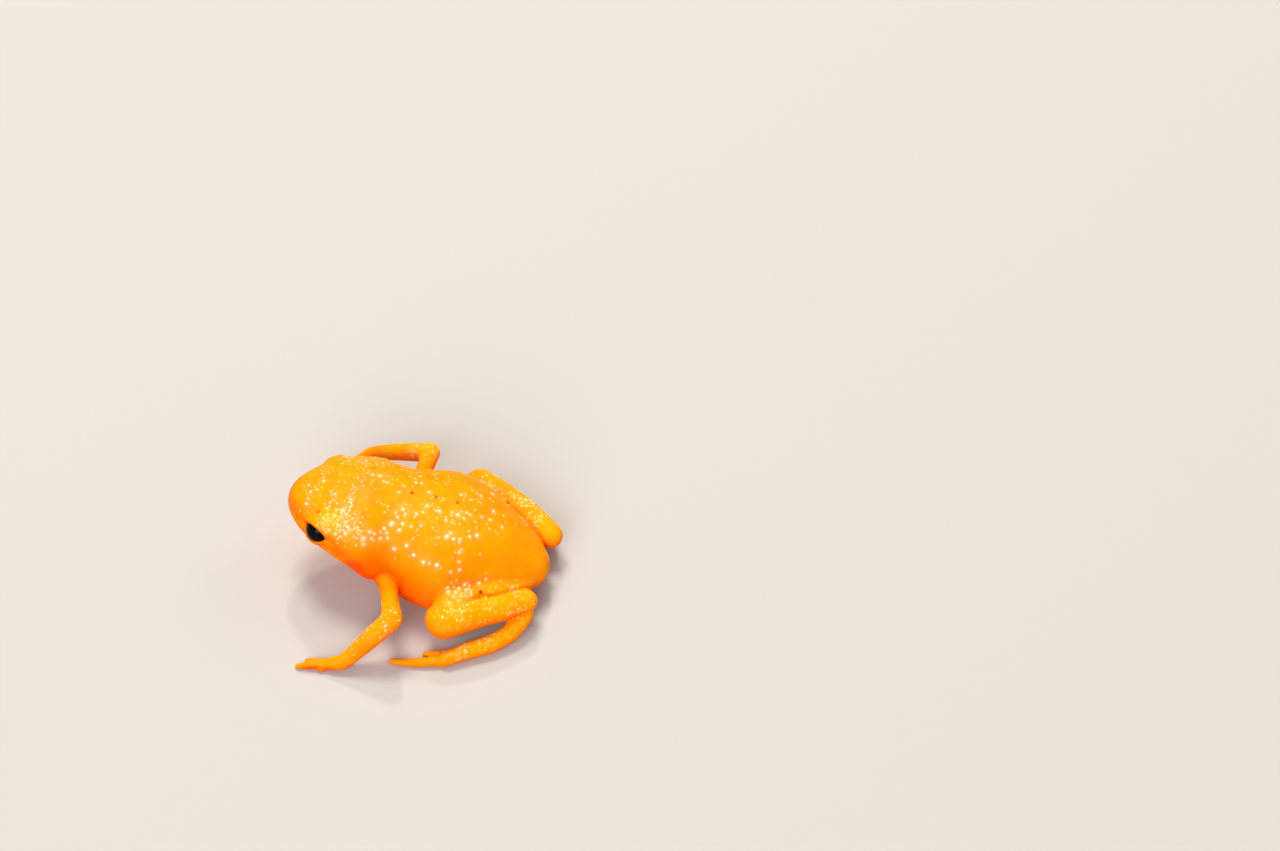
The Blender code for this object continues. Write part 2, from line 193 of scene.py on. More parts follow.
armForms = {  # 1 is left and -1 right
    1: {
        "upperArm": ((2.4, -3.05, 2.05, 0.6), (4.3, -2.5, 2.36, 0.46), (6.0, -1.98, 2.6, 0.56)),
        "forearm": (  # its third row is the wrist
            (6.0, -1.98, 2.6, 0.56), (6.67, -2.94, 1.69, 0.52), (7.54, -4.17, 0.51, 0.4),
            (7.64, -4.44, 0.42, 0.37),
        ),
    },
    -1: {
        "upperArm": ((-2.4, -2.7, 2.1, 0.6), (-3.9, -2.52, 2.45, 0.45), (-5.31, -2.34, 2.8, 0.52)),
        "forearm": (
            (-5.31, -2.34, 2.8, 0.52), (-5.8, -3.95, 1.88, 0.47), (-6.4, -5.6, 0.72, 0.38),
            (-6.34, -5.85, 0.55, 0.36),
        ),
    },
}
legForms = {
    1: {
        "thigh": (
            (0.95, 4.1, 1.5, 0.56), (1.92, 3.35, 1.64, 0.74), (2.5, 2.6, 1.94, 0.8), (2.97, 1.75, 2.1, 0.8),
            (3.6, 0.95, 2.08, 0.86), (4.3, 0.55, 1.8, 0.9),
        ),
        "shank": (
            (4.67, 0.46, 1.6, 1.0), (3.88, 2.0, 1.74, 0.87), (3.2, 3.12, 1.62, 0.79),
            (2.42, 4.3, 1.44, 0.66),
        ),
        "tarsus": (
            (2.4, 4.32, 1.13, 0.52), (3.0, 4.28, 0.9, 0.5), (3.94, 3.86, 0.64, 0.48),
            (4.84, 2.96, 0.47, 0.49),
        ),
    },
    -1: {
        "thigh": (
            (-0.95, 4.1, 1.45, 0.56), (-1.92, 3.35, 1.42, 0.74), (-2.5, 2.6, 1.5, 0.76),
            (-2.97, 1.75, 1.62, 0.76), (-3.55, 0.95, 1.76, 0.84), (-4.25, 0.55, 1.7, 0.88),
        ),
        "shank": (
            (-4.55, 0.46, 1.66, 0.92), (-3.86, 1.66, 1.82, 0.86), (-3.14, 3.16, 1.68, 0.77),
            (-2.13, 4.64, 1.49, 0.7),
        ),
        "tarsus": (
            (-2.2, 4.55, 1.15, 0.52), (-2.8, 4.4, 0.9, 0.5), (-3.7, 3.78, 0.64, 0.46),
            (-4.45, 2.95, 0.47, 0.46),
        ),
    },
}
footForms = {  # for the left foot, set on the end of each tarsus and turned about it
    "sole": ((4.84, 2.96, 0.47, 0.49), (5.52, 1.82, 0.42, 0.46), (6.22, 0.88, 0.36, 0.38)),
    "toeFour": (
        (6.1, 1.05, 0.3, 0.3), (6.5, -0.1, 0.24, 0.27), (6.7, -1.05, 0.19, 0.22), (6.74, -1.95, 0.12, 0.14),
    ),
    "toeThree": ((5.78, 1.25, 0.3, 0.3), (5.88, 0.4, 0.22, 0.23), (5.92, -0.35, 0.12, 0.14)),
    "toeTwo": ((5.55, 1.6, 0.28, 0.26), (5.58, 1.02, 0.15, 0.17)),
    "toeFive": ((6.15, 1.15, 0.28, 0.26), (6.46, 0.62, 0.15, 0.17)),
}
footTurn = {1: 0.0, -1: 10.0}  # degrees that the toes point towards the body, on the left and right
handForm = {
    "palmLength": 0.95,
    "knuckleHeight": 0.24,
    "palmRadius": 0.38,
    "flatness": 0.8,
    # name: (angle towards the body, share of the longest, radius at the root and the tip)
    "fingers": {
        "fingerThree": (0, 1.0, 0.24, 0.15),
        "fingerTwo": (17, 0.74, 0.22, 0.14),
        "fingerOne": (46, 0.3, 0.19, 0.16),
        "fingerFour": (-24, 0.34, 0.2, 0.16),
    },
    "tips": {1: (8.06, -6.55, 0.13), -1: (-5.6, -7.6, 0.13)},
}


def curveThrough(table, steps):
    # Catmull-Rom: between two rows b and c the value is
    # b + ((c - a) t + (2a - 5b + 4c - d) t^2 + (3b - a - 3c + d) t^3) / 2.
    # The first and last rows only guide the curve.
    table = np.asarray(table, float)
    a, b, c, d = (table[k : len(table) - 3 + k, None, :] for k in range(4))
    t = (np.arange(steps) / steps)[None, :, None]
    rows = b + ((c - a) * t + (2 * a - 5 * b + 4 * c - d) * t**2 + (3 * b - a - 3 * c + d) * t**3) / 2
    return np.vstack([rows.reshape(-1, table.shape[1]), table[-2:-1]])


def closedShell(rings, firstPole, lastPole):
    # Points and faces of a tube of rings (rows, sides, 3), closed by a fan to a pole at each end.
    rows, sides = rings.shape[:2]
    points = np.vstack([rings.reshape(-1, 3), firstPole, lastPole])
    i, j = np.meshgrid(np.arange(rows - 1), np.arange(sides), indexing="ij")
    k = (j + 1) % sides
    quads = np.stack([i * sides + j, i * sides + k, (i + 1) * sides + k, (i + 1) * sides + j], -1)
    j, k = j[0], k[0]
    start = np.c_[k, j, np.full(sides, rows * sides)]
    low = (rows - 1) * sides
    end = np.c_[low + j, low + k, np.full(sides, rows * sides + 1)]
    return points, quads.reshape(-1, 4).tolist() + start.tolist() + end.tolist()


def unit(ways):
    # Each direction, divided by its length.
    return ways / np.linalg.norm(ways, axis=-1, keepdims=True)


def distance(co, place):
    # How far each point is from a place.
    return np.linalg.norm(co - np.array(place), axis=1)


def bell(value, width):
    # 1 at 0, falling as exp(-(value / width)^2).
    return np.exp(-((value / width) ** 2))


def fullTurn(count):
    # Angles evenly round a circle.
    return np.linspace(0, 2 * math.pi, count, endpoint=False)


def superPower(value, power):
    # The power of a value's size, with the value's sign.
    return np.sign(value) * np.abs(value) ** power


def bodyRows(form, steps):
    # The sections with mirrored ones past each pole, so that both ends are round.
    table = np.array(form["sections"])
    before, after = table[1] * (1, -1, 1, 1), table[-2] * (1, -1, 1, 1)
    before[[2, 3]] = before[[3, 2]]
    after[[2, 3]] = after[[3, 2]]
    return curveThrough([before, *table, after], steps)


def bodyShell(form):
    # At each y the section is x = w cos^(2/n), z = m + h sin^(2/n), with h up or down from the height m at
    # which it is widest.
    rows = bodyRows(form, form["steps"])[1:-1]
    y, half, top, bottom = (rows[:, k, None] for k in range(4))
    angle = fullTurn(form["sides"])[None, :]
    power = 2 / np.where(np.sin(angle) > 0, *form["roundness"])
    middle = bottom + form["widest"] * (top - bottom)
    rise = np.where(np.sin(angle) > 0, top - middle, middle - bottom)
    x = half * superPower(np.cos(angle), power)
    z = middle + rise * superPower(np.sin(angle), power)
    rings = np.stack([x, np.broadcast_to(y, x.shape), z], -1)
    first, last = form["sections"][0], form["sections"][-1]
    return closedShell(rings, (0, first[0], first[2]), (0, last[0], last[2]))


def rodShell(rows, sides=24, steps=8, flat=1.0):
    # Rings of radius r round a smooth path, with a half ball at each end. flat scales their height.
    table = np.array(rows, float)
    fine = curveThrough([2 * table[0] - table[1], *table, 2 * table[-1] - table[-2]], steps)
    points, radii = fine[:, :3], fine[:, 3]
    way = unit(np.gradient(points, axis=0))
    share = np.sin(np.linspace(0, math.pi / 2, 6)[1:-1])  # stations of the end caps
    shrink = np.sqrt(1 - share**2)
    before = points[0] - way[0] * radii[0] * share[::-1, None]
    after = points[-1] + way[-1] * radii[-1] * share[:, None]
    centres = np.vstack([before, points, after])
    sizes = np.r_[radii[0] * shrink[::-1], radii, radii[-1] * shrink]
    ways = np.pad(way, ((len(share),) * 2, (0, 0)), "edge")
    level = unit(np.cross((0, 0, 1), ways))
    up = np.cross(ways, level)
    angle = fullTurn(sides)[None, :, None]
    rim = level[:, None] * np.cos(angle) + up[:, None] * np.sin(angle) * flat
    rings = centres[:, None] + rim * sizes[:, None, None]
    return closedShell(rings, points[0] - way[0] * radii[0], points[-1] + way[-1] * radii[-1])


def sided(rows, side):
    # Rows as they are for the left side, or mirrored for the right.
    return np.array(rows, float) * ([side] + [1] * (len(rows[0]) - 1))


def turnedAbout(rows, pivot, degrees):
    # Rows turned about the upright line through a point, anticlockwise from above.
    rows = np.array(rows, float)
    c, s = math.cos(math.radians(degrees)), math.sin(math.radians(degrees))
    x, y = (rows[:, :2] - pivot[:2]).T
    rows[:, 0], rows[:, 1] = pivot[0] + c * x - s * y, pivot[1] + s * x + c * y
    return rows


def handShells(form, side):
    # A flat palm from the wrist to the knuckles, and a rod for each finger.
    wrist, tip = np.array(armForms[side]["forearm"][2][:3]), np.array(form["tips"][side])
    along = unit(tip - wrist)
    knuckle = wrist + along * form["palmLength"]
    knuckle[2] = form["knuckleHeight"]
    longest = np.linalg.norm(tip - knuckle)
    shape = ((0, 1.0), (0.5, 1.08), (1, 0.85))
    palm = [(*(wrist + (knuckle - wrist) * t), form["palmRadius"] * size) for t, size in shape]
    shells = [rodShell(palm, flat=form["flatness"])]
    heading = np.array([[along[0], along[1], 0.0]]) / math.hypot(along[0], along[1])
    for angle, share, thick, thin in form["fingers"].values():
        way = turnedAbout(heading, (0, 0), -angle * side)[0]
        start = knuckle - along * 0.25
        end = start + way * (longest + 0.25) * share
        start[2], end[2] = knuckle[2], tip[2]
        middle = (start + end) / 2 + (0, 0, 0.04)
        shells.append(rodShell(((*start, thick), (*middle, thick * 0.98), (*end, thin)), sides=18))
    return shells


def footRows(rows, side):
    # A row of the foot from its left-hand form, put on this side's ankle and turned there.
    start, ankle = sided(footForms["sole"][:1], side)[0], np.array(legForms[side]["tarsus"][-1])
    return turnedAbout(sided(rows, side), start, -footTurn[side] * side) + [*(ankle - start)[:3], 0]


def allShells():
    # The points and faces of every form.
    shells = [bodyShell(bodyForm)]
    shells += [rodShell(rows) for arm in armForms.values() for rows in arm.values()]
    for side in (1, -1):
        shells += [rodShell(rows, sides=32) for rows in legForms[side].values()]
        shells += [rodShell(footRows(rows, side), sides=20) for rows in footForms.values()]
        shells += handShells(handForm, side)
        x, y, z, radius = eyeForm["orbit"]
        shells.append(ballShell(x * side, y, z, radius))
    return shells


def both(x, *rest):
    # A row for the left side, and its mirror for the right.
    return (x, *rest), (-x, *rest)


skinForm = {
    "voxel": 0.081,  # mm, the size of a face of the skin
    "relax": (0.5, 5),  # smoothing all over: weight and rounds
    "filletWeight": 0.9,
    # places where flesh runs over from one form into another: x, y, z, reach, rounds of smoothing
    "fillets": (
        (3.45, -2.8, 2.2, 0.8, 26), (-3.4, -2.6, 2.3, 0.7, 12), *both(1.75, 3.95, 2.0, 0.9, 30),
        (-2.75, 2.9, 2.5, 0.8, 24), (-3.15, 2.0, 2.5, 0.8, 34), (-3.4, 1.3, 2.6, 0.7, 24),
        *both(2.3, 3.4, 2.4, 0.8, 20), *both(3.6, 0.6, 2.7, 0.8, 20), *both(4.55, 0.95, 2.4, 0.75, 16),
        (6.0, -1.98, 2.6, 0.6, 12), (-5.31, -2.34, 2.8, 0.6, 12), (4.84, 2.96, 0.47, 0.5, 10),
        (-4.45, 2.95, 0.47, 0.5, 10), (2.6, 4.2, 1.2, 0.5, 14), (-2.3, 4.55, 1.2, 0.5, 14),
        (7.54, -4.17, 0.5, 0.4, 8), (-6.4, -5.6, 0.7, 0.4, 8), *both(1.75, -6.4, 4.8, 1.1, 10),
    ),
    # fuller or hollower places: x, y, z, reach, mm along the skin's outward direction
    "swells": (
        (2.95, -3.75, 2.45, 0.75, 0.3),  # chest before the arm
        (-2.95, -3.55, 2.45, 0.75, 0.2),
        *both(2.72, -4.25, 4.85, 0.6, 0.07),  # behind the eyes
        (3.45, -1.7, 1.3, 0.9, 0.26),  # belly behind the arm
        (3.4, -2.25, 1.6, 0.5, 0.22), (-3.3, -1.6, 3.6, 0.7, -0.2),
        (-3.1, -2.45, 4.05, 0.6, -0.22), (-2.95, -4.4, 4.55, 0.85, -0.24),
        (3.3, -2.95, 3.95, 0.55, -0.06),  # behind the shoulder
        (0.0, 4.65, 2.25, 0.3, 0.05),
        (0.0, 5.04, 1.7, 0.14, -0.12),  # the vent
    ),
    # creases where two forms meet: the two forms on each side, depth and width in mm, and the y from which
    # they start and are full
    "creases": (
        ("thigh", "shank", 0.13, 0.1, 0.9, 2.2),
        ("shank", "tarsus", 0.06, 0.1, 1.0, 3.0),
        ("thigh", "body", 0.05, 0.14, 0.0, 1.5),
        ("upperArm", "body", 0.05, 0.12, -4.0, -3.0),
    ),
}
eyeForm = {
    "centre": (1.92, -6.58, 4.02),
    "axis": (0.82, -0.56, 0.1),
    "radius": 0.78,
    "orbit": (1.62, -6.32, 4.12, 1.15),  # the dome of skin over the eye: x, y, z, radius
    "opening": (61.0, 43.0, 25.0),  # degrees off the axis at the corners, and in the middle of either lid
    "upperLid": 0.15,  # mm that the lid stands proud of the eyeball
    "lowerLid": 0.11,
    "hidden": 0.07,  # mm that the skin runs below the eyeball inside the lids, and stays above it outside
    "power": 1.9,  # of the opening's outline, where 2 is an ellipse
    "within": (1.9, 88.0),  # mm from the centre and degrees off the axis that the lids act
    "cornea": (0.045, 42.0),  # mm that the cornea bulges, and w, the degrees off the axis it reaches
    "pupil": (27.0, 22.0),  # degrees off the axis, along and across
    "sides": 96,
    "fine": 1.5,
}
mouthForm = {
    "corner": (-4.85, 2.95),  # y and z
    "front": (-8.66, 3.68),
    "depth": 0.1,
    "reach": 0.055,
    "lip": 0.035,
    "lipReach": 0.1,
    "upperLip": (0.03, 0.3),  # how much fuller the skin above the line is, and its reach
    # reach of the painted shade in the mouth's groove
    "shadeReach": 0.06,
    "fine": 0.24,  # mm within which the skin gets smaller faces
}
nostrilForm = {
    "centre": (1.48, -8.0, 4.08),
    "depth": 0.17,
    "reach": 0.075,
    "rim": (0.05, 0.16, 0.07),  # height, radius and width
    # reach of the painted shade in the nostril's pit
    "shadeReach": 0.08,
    "fine": 0.45,
}

# How the skin's colour goes from place to place, with painted shade and painted light among it.
colourForm = {
    # how far upward the skin faces where each colour is none and full; the painted light is fullest on
    # upward skin, and the painted shade on skin that faces down
    "facing": {"yellowAndPaintedLight": (-0.2, 0.6), "haze": (0.0, 0.5), "spots": (-0.3, 0.4), "paintedShade": (0.98, 0.35)},
    "hollows": (95.0, 0.5),  # how much painted shade reddens the hollows, and at most
    "evened": (0.9, 12),  # smoothing of the hollows: weight and rounds
    "belly": 0.5,  # how much painted shade reddens the underside
    "lidEdge": 0.5,  # how much painted shade reddens the lids' edges
    "pit": 0.015,  # mm that a speck lies below the skin
    "fine": 2.5,  # radii round a speck with smaller faces
    "calm": ((-3.0, 2.2, 2.4, 1.5, 0.8),),  # places where the painted shade in the hollows is weaker
    # places of redder painted shade: x, y, z, reach, strength
    "paintedShade": (
        (3.1, -3.9, 2.6, 1.4, 0.75), (3.3, -4.4, 3.0, 0.7, 0.95), (3.0, -5.5, 3.8, 0.7, 0.4),
        (1.0, -8.1, 4.6, 0.7, 0.55), (7.8, -5.5, 0.4, 0.9, 0.8), (3.5, -1.9, 1.6, 1.4, 0.55),
        (-3.1, -3.9, 2.6, 1.5, 0.75), (-3.5, -1.9, 1.6, 1.4, 0.55), (3.3, 0.9, 3.1, 0.8, 0.35),
        (2.3, -7.3, 3.4, 1.0, 0.5), (0.2, -8.7, 4.1, 1.0, 0.45), (-0.3, -8.3, 4.65, 0.9, 0.7),
    ),
    # yellower places, as painted light where the skin is lit
    "yellowAndPaintedLight": (
        (0.9, -6.4, 5.3, 1.6, 0.2), (2.2, -6.1, 5.0, 0.8, 1.0), (-1.2, -6.0, 5.4, 1.4, 0.15),
        (4.3, 0.9, 2.2, 1.3, 1.0), (3.4, 2.7, 2.0, 1.4, 1.2), (2.6, 4.2, 1.7, 1.2, 0.7),
        (-4.3, 0.9, 2.2, 1.3, 0.9), (-3.4, 2.7, 2.0, 1.4, 0.9), (6.2, -2.3, 2.5, 1.2, 0.35),
        (3.3, -4.45, 4.2, 0.6, 0.9), (0.6, 2.2, 4.3, 1.2, 0.5), (0.5, 4.5, 2.4, 0.8, 0.6),
        (-4.3, -2.4, 3.0, 0.8, 1.0), (-1.9, 4.7, 2.0, 0.7, 1.0), (7.2, -4.4, 0.8, 1.5, 0.2),
        (-5.3, -2.4, 2.9, 1.6, 1.0), (-5.7, -4.2, 1.8, 1.0, 0.9), (-2.6, 4.3, 1.9, 1.3, 1.0),
        (5.1, 1.1, 1.7, 1.2, 1.0), (5.2, 2.2, 0.7, 1.5, 0.7), (0.6, -0.5, 5.2, 2.4, 0.35),
    ),
    # pinkish haze below the surface
    "haze": (
        (2.1, -4.95, 5.1, 0.8, 0.7), (1.3, -5.4, 5.6, 0.7, 0.3), (2.6, -4.2, 4.9, 0.5, 0.6),
        (1.2, -2.6, 5.3, 0.8, 0.3), (1.6, -0.6, 5.0, 0.7, 0.4), (0.6, 0.4, 5.0, 0.7, 0.3),
        (-0.9, -4.2, 5.7, 0.7, 0.2), *both(3.8, 0.9, 2.9, 0.6, 0.5), (-2.1, -4.95, 5.1, 0.8, 0.6),
    ),
    # soft pale spots below the surface
    "spots": (
        (2.1, -6.0, 5.0, 0.7, 0.8), (2.3, -4.9, 4.95, 0.8, 0.7), (1.0, -5.4, 5.6, 1.0, 0.15),
        (4.9, 0.3, 2.4, 0.6, 1.0), (-0.3, -6.7, 5.4, 1.4, 0.2), (-1.6, -4.6, 5.5, 1.1, 0.3),
        (0.9, -2.0, 5.4, 1.1, 0.3), (0.8, -0.3, 5.1, 1.2, 0.4), (0.2, 1.6, 4.6, 1.0, 0.2),
        (4.6, 0.8, 2.2, 0.9, 0.9), (3.9, 2.3, 2.0, 1.0, 1.4), (2.9, 3.9, 1.7, 0.9, 1.3),
        (4.8, 3.2, 0.8, 1.2, 0.6), (5.9, 1.4, 0.7, 1.0, 1.0), (6.3, -2.5, 2.3, 1.0, 0.5),
        (7.0, -4.0, 1.0, 1.0, 0.2), (-4.5, 0.9, 2.3, 0.9, 0.6), (-3.8, 2.3, 2.1, 0.9, 0.6),
        (-2.9, 3.9, 1.8, 0.9, 0.6), (-4.6, 3.0, 0.9, 1.2, 0.6), (-5.3, -2.5, 3.0, 1.2, 0.6),
    ),
    # dark specks: x, y, z, radius, strength
    "speck": (
        (-0.11, -2.24, 5.56, 0.11, 1.0), (-0.22, -1.01, 5.41, 0.1, 0.8), (-0.26, 0.13, 5.19, 0.1, 0.8),
        (-3.02, 2.2, 2.42, 0.12, 0.9), (3.34, 2.11, 2.7, 0.13, 1.0), (1.79, -6.78, 5.14, 0.12, 0.7),
        (-1.21, -4.45, 5.73, 0.1, 0.35), (-1.67, -1.61, 5.24, 0.12, 0.3),
    ),
}

# Granules: small round warts on the back, the head behind the eyes, the knees, shanks and forearms. Each
# is a low dome set in the skin, and pales towards its crown, partly in its own pale colour and partly as a
# painted glint.
granuleForm = {
    "seed": 7,
    "sides": 10,
    "rings": (0.42, 0.75, 1.0),  # shares of the radius
    "height": 0.42,  # share of the radius
    "sunk": 0.05,  # share of the radius that the rim lies below the skin
    "radius": (0.055, 0.115),  # mm, of the scattered ones
    "clump": (0.9, 0.12),  # mm across the clumps they form, and the chance left between them
    "lowest": 0.45,  # mm above the floor
    "offLids": 1.25,  # in openings of the eye, from its centre
    "halo": (0.18, 1.3),  # how pale the skin gets round a large one, as its pale colour and painted glint spread, and how far, in its radii
    # where they are scattered: x, y, z, reach, how many, how pale (own pale colour and painted glint), how
    # large
    "zones": (
        (0.9, -2.0, 5.4, 1.2, 50, 0.45, 0.8), (0.8, -0.2, 5.1, 1.3, 64, 0.45, 0.8),
        (0.2, 1.7, 4.5, 1.2, 22, 0.45, 1.0), (2.6, -1.2, 4.6, 1.2, 14, 0.45, 1.0),
        (2.0, -6.0, 5.15, 0.7, 130, 0.6, 0.85), (2.2, -5.0, 5.05, 0.8, 110, 0.6, 0.9),
        (1.2, -5.2, 5.6, 1.0, 90, 0.3, 0.8), (-0.2, -6.4, 5.5, 1.5, 220, 0.3, 0.7),
        (-1.6, -4.6, 5.5, 1.2, 80, 0.32, 1.0), (-2.0, -6.1, 5.05, 0.7, 60, 0.45, 1.0),
        (-1.7, -1.6, 5.2, 1.3, 44, 0.35, 1.0), (-1.8, 0.8, 4.5, 1.2, 34, 0.35, 1.0),
        (4.1, 1.0, 2.7, 0.7, 50, 0.55, 1.0), (4.1, 1.7, 2.2, 0.9, 50, 0.4, 1.0),
        (3.1, 3.2, 2.1, 0.9, 50, 0.4, 1.0), (-4.0, 1.0, 2.6, 0.8, 90, 0.7, 0.8),
        (-2.95, 3.15, 2.45, 1.1, 200, 1.0, 0.62), (6.2, -2.4, 2.5, 0.7, 40, 0.45, 1.0),
        (6.9, -3.6, 1.4, 0.7, 34, 0.3, 0.9), (-5.3, -2.6, 3.1, 0.7, 60, 0.45, 1.0),
        (-5.7, -3.6, 2.3, 0.8, 40, 0.3, 1.0), (4.9, 2.7, 0.9, 0.7, 40, 0.45, 1.0),
        (5.8, 1.4, 0.7, 0.7, 40, 0.45, 1.0), (-5.0, 2.3, 0.9, 0.9, 50, 0.4, 1.0),
    ),
    # the largest, one by one: x, y, z, radius, how pale (own pale colour and painted glint)
    "single": (
        (1.02, -2.46, 5.5, 0.13, 0.8), (1.76, -2.33, 5.23, 0.13, 0.95), (1.82, -1.88, 5.19, 0.11, 0.6),
        (1.67, -1.39, 5.22, 0.11, 0.6), (1.1, -1.74, 5.41, 0.13, 0.7), (0.93, -1.45, 5.42, 0.11, 0.7),
        (0.49, -1.28, 5.45, 0.17, 0.6), (0.62, -0.66, 5.34, 0.13, 1.0), (0.44, -0.02, 5.22, 0.11, 0.6),
        (0.67, -0.01, 5.21, 0.1, 0.5), (0.5, 0.31, 5.13, 0.15, 1.0), (0.57, 0.65, 5.03, 0.11, 0.7),
        (0.17, 0.71, 5.02, 0.11, 0.7), (0.22, 0.9, 4.95, 0.12, 0.7), (0.21, 0.45, 5.11, 0.1, 0.5),
        (0.03, 1.48, 4.7, 0.12, 0.5), (-0.06, 1.9, 4.47, 0.12, 0.8), (-0.74, 1.93, 4.4, 0.13, 0.9),
        (-0.03, 2.53, 4.08, 0.12, 0.7), (-2.07, 1.59, 4.15, 0.13, 1.0), (-3.43, 1.34, 2.86, 0.11, 0.6),
        (-1.36, 1.15, 4.7, 0.12, 0.6), (-0.86, 0.2, 5.13, 0.11, 0.8), (-0.75, 0.72, 4.98, 0.1, 0.5),
        (-0.42, -1.41, 5.47, 0.11, 0.9), (-0.88, -2.19, 5.5, 0.1, 0.9), (-0.94, -1.91, 5.46, 0.1, 0.8),
        (1.05, -0.19, 5.2, 0.13, 0.6), (1.06, 0.14, 5.12, 0.11, 0.5), (1.89, 0.02, 4.93, 0.16, 1.0),
        (1.65, 0.18, 4.97, 0.13, 0.8), (1.88, 0.37, 4.83, 0.12, 0.95), (1.78, 0.7, 4.75, 0.12, 0.8),
        (1.95, 0.68, 4.69, 0.1, 0.6), (1.44, 1.13, 4.68, 0.12, 0.8), (1.2, 1.46, 4.58, 0.15, 1.0),
        (2.37, 0.79, 4.43, 0.12, 0.7), (2.22, 0.85, 4.49, 0.1, 0.6), (2.75, 0.85, 4.12, 0.11, 0.6),
        (3.0, 0.93, 3.81, 0.12, 0.7), (3.23, 0.51, 3.79, 0.11, 0.6), (2.65, -1.94, 4.61, 0.13, 0.9),
        (2.97, -1.49, 4.34, 0.13, 0.95), (3.19, -0.94, 4.16, 0.13, 1.0), (3.2, -0.23, 4.11, 0.15, 0.95),
        (3.2, -0.62, 4.16, 0.12, 0.5), (3.8, 0.51, 2.85, 0.16, 1.0), (3.77, 0.89, 2.9, 0.15, 0.9),
        (3.55, 1.02, 2.95, 0.15, 0.8), (3.29, 1.26, 3.03, 0.15, 0.8), (3.51, 1.37, 2.91, 0.13, 0.7),
        (3.91, 1.16, 2.82, 0.13, 0.7), (4.15, 1.11, 2.73, 0.12, 0.7), (4.39, 0.67, 2.68, 0.15, 0.7),
        (4.65, 0.84, 2.49, 0.13, 0.5), (2.91, 1.94, 2.87, 0.17, 1.0), (2.61, 2.23, 2.91, 0.12, 0.9),
        (3.21, 1.48, 2.94, 0.12, 0.6), (4.02, 0.82, 2.82, 0.12, 0.7), (2.01, -5.87, 5.24, 0.15, 0.8),
        (1.61, -6.35, 5.3, 0.13, 0.5), (1.7, -5.83, 5.41, 0.12, 0.6), (2.12, -6.43, 5.11, 0.13, 0.7),
        (2.22, -6.09, 5.07, 0.15, 0.6), (2.52, -6.32, 4.79, 0.11, 0.6), (2.55, -6.02, 4.74, 0.13, 0.8),
        (2.69, -5.67, 4.67, 0.13, 0.9), (2.37, -5.85, 4.98, 0.13, 0.6), (2.21, -5.67, 5.16, 0.11, 0.6),
        (2.47, -5.08, 5.13, 0.13, 1.0), (2.72, -5.14, 4.88, 0.13, 1.0), (2.6, -4.95, 5.06, 0.12, 0.6),
        (2.88, -4.15, 4.86, 0.22, 0.6), (2.53, -3.91, 5.08, 0.15, 0.6), (2.51, -3.65, 4.97, 0.13, 0.6),
        (2.73, -3.76, 4.82, 0.13, 0.5), (3.02, -4.12, 4.63, 0.16, 0.6), (2.15, -3.22, 5.1, 0.12, 0.95),
        (1.87, -2.88, 5.22, 0.19, 0.9), (2.07, -2.44, 5.07, 0.13, 0.9), (2.3, -3.06, 4.94, 0.13, 0.6),
        (2.57, -3.32, 4.75, 0.15, 0.6), (2.47, -2.97, 4.76, 0.13, 0.6), (1.24, -2.3, 5.43, 0.11, 0.7),
        (1.3, -2.79, 5.46, 0.12, 0.5), (1.48, -2.65, 5.38, 0.12, 0.7), (0.07, -2.89, 5.65, 0.12, 0.6),
        (-0.44, -2.74, 5.61, 0.11, 0.5), (2.77, -2.56, 4.33, 0.16, 0.7), (0.81, -6.1, 5.6, 0.11, 0.6),
        (-0.05, -6.87, 5.46, 0.1, 0.8), (0.61, -7.44, 5.19, 0.1, 0.8), (0.16, -7.64, 5.15, 0.09, 0.7),
        (1.0, -7.49, 5.07, 0.1, 0.6), (1.24, -7.52, 4.95, 0.13, 0.7), (-0.72, -4.04, 5.78, 0.16, 0.5),
        (-0.4, -3.79, 5.77, 0.11, 0.5), (-0.37, -3.65, 5.75, 0.09, 0.6), (-0.68, -4.43, 5.81, 0.11, 0.6),
    ),
}


def ballShell(x, y, z, radius):
    # A ball, as a rod so short that it is all end caps.
    rows = ((x, y - 0.02, z, radius), (x, y, z, radius), (x, y + 0.02, z, radius))
    return rodShell(rows, sides=40, steps=1)


def fusedSkin(shells, voxel):
    # All forms in one mesh, remeshed so that only the outer surface is left. Points stay in mm here.
    counts = np.cumsum([0] + [len(points) for points, faces in shells])
    points = np.vstack([points for points, faces in shells])
    faces = [[k + int(start) for k in face] for start, (_, part) in zip(counts, shells) for face in part]
    draft = addObject("draft", meshFrom("draft", points.tolist(), faces))
    remesh = draft.modifiers.new("fuse", "REMESH")
    remesh.mode = "VOXEL"
    remesh.voxel_size = voxel
    bpy.context.view_layer.update()
    fused = bpy.data.meshes.new_from_object(draft.evaluated_get(bpy.context.evaluated_depsgraph_get()))
    bpy.data.objects.remove(draft)
    return fused


def values(items, name, width, kind=float):
    # One property of a mesh's points, edges or corners, with a row for each.
    rows = np.empty(len(items) * width, kind)
    items.foreach_get(name, rows)
    return rows.reshape(-1, width)


def pointsOf(mesh):
    # Where each point is.
    return values(mesh.vertices, "co", 3)


def setPoints(mesh, co):
    # Moves a mesh's points, and gives the outward direction at each.
    mesh.vertices.foreach_set("co", co.ravel())
    mesh.update()
    return values(mesh.vertex_normals, "vector", 3)


def edgesOf(mesh):
    # The two points' numbers of each edge.
    return values(mesh.edges, "vertices", 2, np.int32)


def neighbourMean(field, edges):
    # The mean of each point's neighbours, by summing over the edges both ways.
    n = len(field)
    a, b = edges.T
    counts = np.bincount(a, minlength=n) + np.bincount(b, minlength=n)
    columns = [np.bincount(a, c[b], n) + np.bincount(b, c[a], n) for c in field.reshape(n, -1).T]
    return (np.stack(columns, -1) / counts[:, None]).reshape(field.shape)


